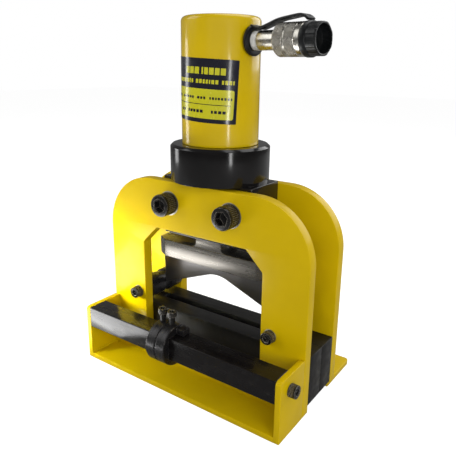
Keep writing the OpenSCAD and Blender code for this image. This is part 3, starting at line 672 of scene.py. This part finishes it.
lo, hi = mm_box("blade")
blade_half, blade_top, blade_t = hi[0], hi[2], 9.0
slope = math.radians(21.3)
apex, apex_r = 112.0, 37.0
arch_z = apex - apex_r / math.cos(slope)
cutting_edge = ([(-blade_half, blade_top), (-blade_half, lo[2])]
                + arc(0, arch_z, apex_r, 90 + math.degrees(slope), 90 - math.degrees(slope), 20)
                + [(blade_half, lo[2]), (blade_half, blade_top)])
piece("arched_blade", "ram", [(slab([cutting_edge[::-1]], blade_t, 0.45), place((0, 0, 0), X, Z))],
      [blade_steel], ["blade"])

# ---------------------------------------------------------------- hydraulic coupler

port_a = math.radians(-7)
axis = Vector((math.cos(port_a), math.sin(port_a), 0))
port_z = 359.6


def on_port(u=0.0):
    """Local Z along the coupler, local X up."""
    return place(axis * u + Vector((0, 0, port_z)), Z, axis.cross(Z))


adaptor_line = rounded([(3, 29), (8, 29), (8, 39.6), (8.3, 40.3), (8.3, 51), (6.5, 51.6),
                        (6.5, 61), (3, 61)], 0.3, 2)
piece("port_adaptor", "frame", [(turned(adaptor_line, 96), on_port())], [dull_zinc], ["port_fitting"])


def wrapped(r, z, a):
    """Thread tape: shallow, uneven turns."""
    return r + (0.10 * math.sin(2 * math.pi * z / 1.7 + a) + 0.07 * math.sin(5 * a + z) if r > 8.5 else 0)


tape_line = [(8.32, 44.7)] + [(8.9, 44.9 + 0.25 * k) for k in range(25)] + [(8.32, 51.1)]
piece("thread_tape", "frame", [(turned(tape_line, 120, wrapped), on_port())], [tape],
      ["sealing_tape"], angle=50)

nipple_line = rounded([(6.6, 51.5), (9, 51.5), (9, 74.8), (11.5, 75.2), (11.5, 97.0), (10.8, 97.2),
                       (10.8, 98.3), (11.5, 98.5), (11.5, 100.1), (8.3, 100.1), (8.3, 90.2),
                       (3.5, 90.2), (3.5, 86.1), (6, 86.1), (6, 62), (6.6, 61)],
                      [0, 0.6, 0, 0, 0, 0, 0, 0, 0.4, 0.4, 0, 0, 0, 0, 0, 0], 3)
piece("coupler_nipple", "frame", [(turned(nipple_line, 96), on_port())], [zinc], ["coupler_body"])

lo_u, length, sleeve_r = 72.4, 31.0, 15.0
GROOVES = ((0.4, 1.6, 1.0), (0.8, 1.4, 0.7))
KNURLS = 44
KNURL_DEEP = 0.40
# Knurl depth past which a face takes the darker zinc of the painted groove shade.
KNURL_SHADE_FROM = 0.25


def sleeve_radius(v):
    """Outer radius of the sleeve without its knurl."""
    r = sleeve_r - max(0, 2.4 - v)
    for share, width, deep in GROOVES:
        a = share * length
        if a - 0.3 < v < a + width + 0.3:
            r -= deep * min(1, (v - a + 0.3) / 0.5, (a + width + 0.3 - v) / 0.5)
    return r - max(0, v - (length - 0.6))


def knurl_depth(v, a):
    """Crossed grooves cut at 45 degrees, away from the grooves and the ends."""
    if v < 2.7 or v > 0.8 * length - 0.6 or 0.4 * length - 0.6 < v < 0.4 * length + 2.2:
        return 0.0
    t = a * KNURLS / (2 * math.pi)
    s = v * KNURLS / (2 * math.pi * sleeve_r)
    g = min(abs((t + s) % 1 - 0.5), abs((t - s) % 1 - 0.5)) * 2
    return KNURL_DEEP * (1 - min(1, 1.4 * g))


def knurled(r, v, a):
    """The sleeve's outer radius with its knurl; the inner radii stay."""
    return r - (knurl_depth(v, a) if r > 14.5 else 0)


heights = [length * k / 150 for k in range(151)]
sleeve_outer = [(sleeve_radius(v), v) for v in heights]
sleeve_inner = [(13.0, length), (13.0, 24), (11.7, 24), (11.7, 2.4), (9.3, 2.4), (9.3, 0)]
sleeve = piece("knurled_sleeve", "sleeve",
               [(turned(sleeve_outer + sleeve_inner, 12 * KNURLS, knurled), on_port(lo_u))],
               [zinc, zinc_groove_shade], ["coupler_sleeve"], angle=50)
to_sleeve = on_port(lo_u).inverted()
# Faces deep in the knurl grooves take the darker zinc: painted shade in the grooves.
for face in sleeve.data.polygons:
    c = to_sleeve @ face.center
    if math.hypot(c.x, c.y) > 14 and knurl_depth(c.z, math.atan2(c.y, c.x)) > KNURL_SHADE_FROM:
        face.material_index = 1

cap_u = 103.9
CAP_FLATS = 8


def ribbed(r, v, a):
    """Shallow flats round the cup of the cap."""
    if r < 13.5 or v < 5.4:
        return r
    w = abs((a * CAP_FLATS / (2 * math.pi)) % 1 - 0.5) * 2
    return r - 0.40 * min(1, max(0, (w - 0.30) / 0.20))


cap_line = [(0, -11.5), (7.2, -11.5), (8, -10.7), (8, 0), (15.0, 0), (15.5, 0.5), (15.5, 4.6),
            (15.1, 5.1), (14.75, 5.5)]
cap_line += [(14.75, 5.5 + k) for k in range(1, 10)]
cap_line += [(14.6, 15.3), (14.1, 15.7), (12.9, 15.7), (12.5, 15.4), (12.3, 7.0), (11.8, 6.3), (0, 6.3)]
piece("ribbed_dust_cap", "cap", [(turned(cap_line, 240, ribbed), on_port(cap_u))], [rubber],
      ["dust_cap"], angle=40)

# middle line of the strap: (distance along the coupler, height above its axis)
stations = [(42.4, 13.2), (51.4, 10.7), (61.9, 13.4), (73.4, 17.1), (86.35, 19.1), (97.2, 20.2),
            (102.4, 18.8), (105.5, 16.4)]


def smooth_curve(points, parts):
    """A Catmull-Rom curve through the points."""
    out = []
    n = len(points)
    for i in range(n - 1):
        a, b, c, d = [Vector(points[max(0, min(n - 1, i + k))]) for k in (-1, 0, 1, 2)]
        for k in range(parts + (1 if i == n - 2 else 0)):
            t = k / parts
            out.append(0.5 * (2 * b + t * (c - a) + t * t * (2 * a - 5 * b + 4 * c - d)
                              + t ** 3 * (3 * b - a - 3 * c + d)))
    return out


w, h = 6.0, 1.2
strap_section = rounded([(-w, -h), (w, -h), (w, h), (-w, h)], 0.7, 3)
line = smooth_curve(stations, 10)
rings = []
for i, p in enumerate(line):
    t = (line[min(i + 1, len(line) - 1)] - line[max(i - 1, 0)]).normalized()
    n = Vector((-t.y, t.x))
    rings.append([(p.y + n.y * b, a, p.x + n.x * b) for a, b in strap_section])
strap = tube(rings, closed=False, caps=True)
tether = rounded([(9.1, 40.4), (14.2, 40.4), (14.2, 44.4), (9.1, 44.4)], [0.6, 1.3, 1.3, 0.6], 4)
band = piece("rubber_strap", "", [(strap, on_port()), (turned(tether, 96), on_port())], [rubber], angle=40)
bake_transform(band)
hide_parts("cap_strap")

# ---------------------------------------------------------------- springs

for name, node, body, along in (("lifting_coil", "return_spring", "ram", Z),
                                ("poppet_coil", "valve_spring", "poppet", axis)):
    mesh = NODES[node].data.copy()
    mesh.transform(NODES[node].matrix_world)
    coil = piece(name, "", [(mesh, Matrix.Identity(4))], [turned_steel], angle=60)
    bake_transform(coil)
    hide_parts(node)

# ---------------------------------------------------------------- CAD nodes that stay

for names, material in (
    (("piston", "valve_poppet"), turned_steel),
    (("piston_rod",), chrome),
    (("die_dowels", "sleeve_ring"), turned_steel),
    (("piston_seal", "rod_wiper"), rubber),
    (("gland_bush",), bronze),
    (("wear_ring",), brown_plastic),
    (("piston_screw", "blade_screws", "rod_lock_screw"), black_oxide),
):
    for name in names:
        mesh = NODES[name].data
        if not mesh.materials:
            mesh.materials.append(material)
        for k in range(len(mesh.materials)):
            mesh.materials[k] = material

# ---------------------------------------------------------------- floor, light and camera

floor_mesh = bpy.data.meshes.new("floor")
floor_mesh.from_pydata([(-6, -6, 0), (6, -6, 0), (6, 6, 0), (-6, 6, 0)], [], [(0, 1, 2, 3)])
floor = bpy.data.objects.new("floor", floor_mesh)
floor.location.z = -0.0002
floor_mat = surface("pale_floor", (0.30, 0.30, 0.30), 0.8, tone=0.01, tone_scale=4, bump=0.02, bump_scale=200)
floor_mesh.materials.append(floor_mat)
bpy.context.scene.collection.objects.link(floor)

WORLD_LIGHT, WORLD_SEEN, FLOOR_GLOW = 0.17, 1.0, 0.92
world = bpy.data.worlds.new("studio")
world.use_nodes = True
nt = world.node_tree
background = nt.nodes["Background"]
background.inputs[0].default_value = (1, 1, 1, 1)
# The world lights the object softly, and the camera sees it plain white.
path = nt.nodes.new("ShaderNodeLightPath")
level = nt.nodes.new("ShaderNodeMapRange")
level.inputs["To Min"].default_value = WORLD_LIGHT
level.inputs["To Max"].default_value = WORLD_SEEN
nt.links.new(path.outputs["Is Camera Ray"], level.inputs["Value"])
nt.links.new(level.outputs["Result"], background.inputs[1])
bpy.context.scene.world = world
# The floor glows for the camera only.
nt = floor_mat.node_tree
glow = nt.nodes.new("ShaderNodeEmission")
both = nt.nodes.new("ShaderNodeAddShader")
path = nt.nodes.new("ShaderNodeLightPath")
level = nt.nodes.new("ShaderNodeMath")
level.operation = "MULTIPLY"
level.inputs[1].default_value = FLOOR_GLOW
nt.links.new(path.outputs["Is Camera Ray"], level.inputs[0])
nt.links.new(level.outputs[0], glow.inputs["Strength"])
nt.links.new(nt.nodes["Principled BSDF"].outputs[0], both.inputs[0])
nt.links.new(glow.outputs[0], both.inputs[1])
nt.links.new(both.outputs[0], nt.nodes["Material Output"].inputs[0])


def lamp(name, place_at, target, size, power, color=(1, 1, 1)):
    """A rectangular area lamp turned towards its target; places in metres, power in watts."""
    light = bpy.data.lights.new(name, "AREA")
    light.shape = "RECTANGLE"
    light.size, light.size_y = size
    light.energy = power
    light.color = color
    ob = bpy.data.objects.new(name, light)
    ob.location = place_at
    ob.rotation_euler = (Vector(target) - Vector(place_at)).to_track_quat("-Z", "Y").to_euler()
    bpy.context.scene.collection.objects.link(ob)
    return ob


# name: place, target, size, power and, for one, colour
LAMPS = {
    "key": ((-1.35, -0.85, 1.2), (0, 0, 0.15), (1.2, 1.2), 9.5),
    "fill": ((0.75, -1.7, 0.95), (0, 0, 0.2), (2.2, 1.5), 17),
    "top": ((0.2, 0.5, 1.6), (0, 0, 0.1), (1.2, 1.2), 11),
    "glare": ((-0.30, -0.26, 0.16), (-0.135, -0.03, 0.075), (0.12, 0.12), 0.26, (0.92, 1.0, 0.7)),
    "back": ((0.7, 1.7, 0.9), (0, 0, 0.15), (1.6, 1.2), 16),
    "right": ((1.3, -0.55, 0.55), (0, 0, 0.15), (0.9, 0.9), 7),
    "strip_left": ((-1.27, -0.27, 0.22), (0, 0, 0.25), (0.30, 0.5), 2.2),
    "strip_right": ((1.11, -0.67, 0.20), (0, 0, 0.25), (0.13, 0.45), 2.4),
    "bounce": ((-0.245, -0.205, 0.003), (-0.245, -0.205, 1.0), (0.24, 0.19), 1.3),
}
lamps = {name: lamp(name, *values) for name, values in LAMPS.items()}
lamps["glare"].data.spread = math.radians(46)
for name in ("glare", "bounce"):
    lamps[name].visible_camera = False
for name in ("glare", "fill", "right"):
    lamps[name].visible_glossy = False

camera = bpy.data.cameras.new("camera")
camera.sensor_width = 36
camera.lens = 40.48
camera.shift_x = -0.0004
camera.shift_y = -0.0353
camera.clip_start = 0.01
view = bpy.data.objects.new("camera", camera)
forward = Vector((-0.551734, 0.788136, -0.272820)).normalized()
right = forward.cross(Z).normalized()
up = right.cross(forward)
roll = math.radians(0.7)
right, up = right * math.cos(roll) + up * math.sin(roll), up * math.cos(roll) - right * math.sin(roll)
turn = Matrix((right, up, -forward)).transposed().to_4x4()
turn.translation = (0.31700, -0.43683, 0.33583)
view.matrix_world = turn
bpy.context.scene.collection.objects.link(view)
bpy.context.scene.camera = view
bpy.context.scene.view_settings.view_transform = "Standard"
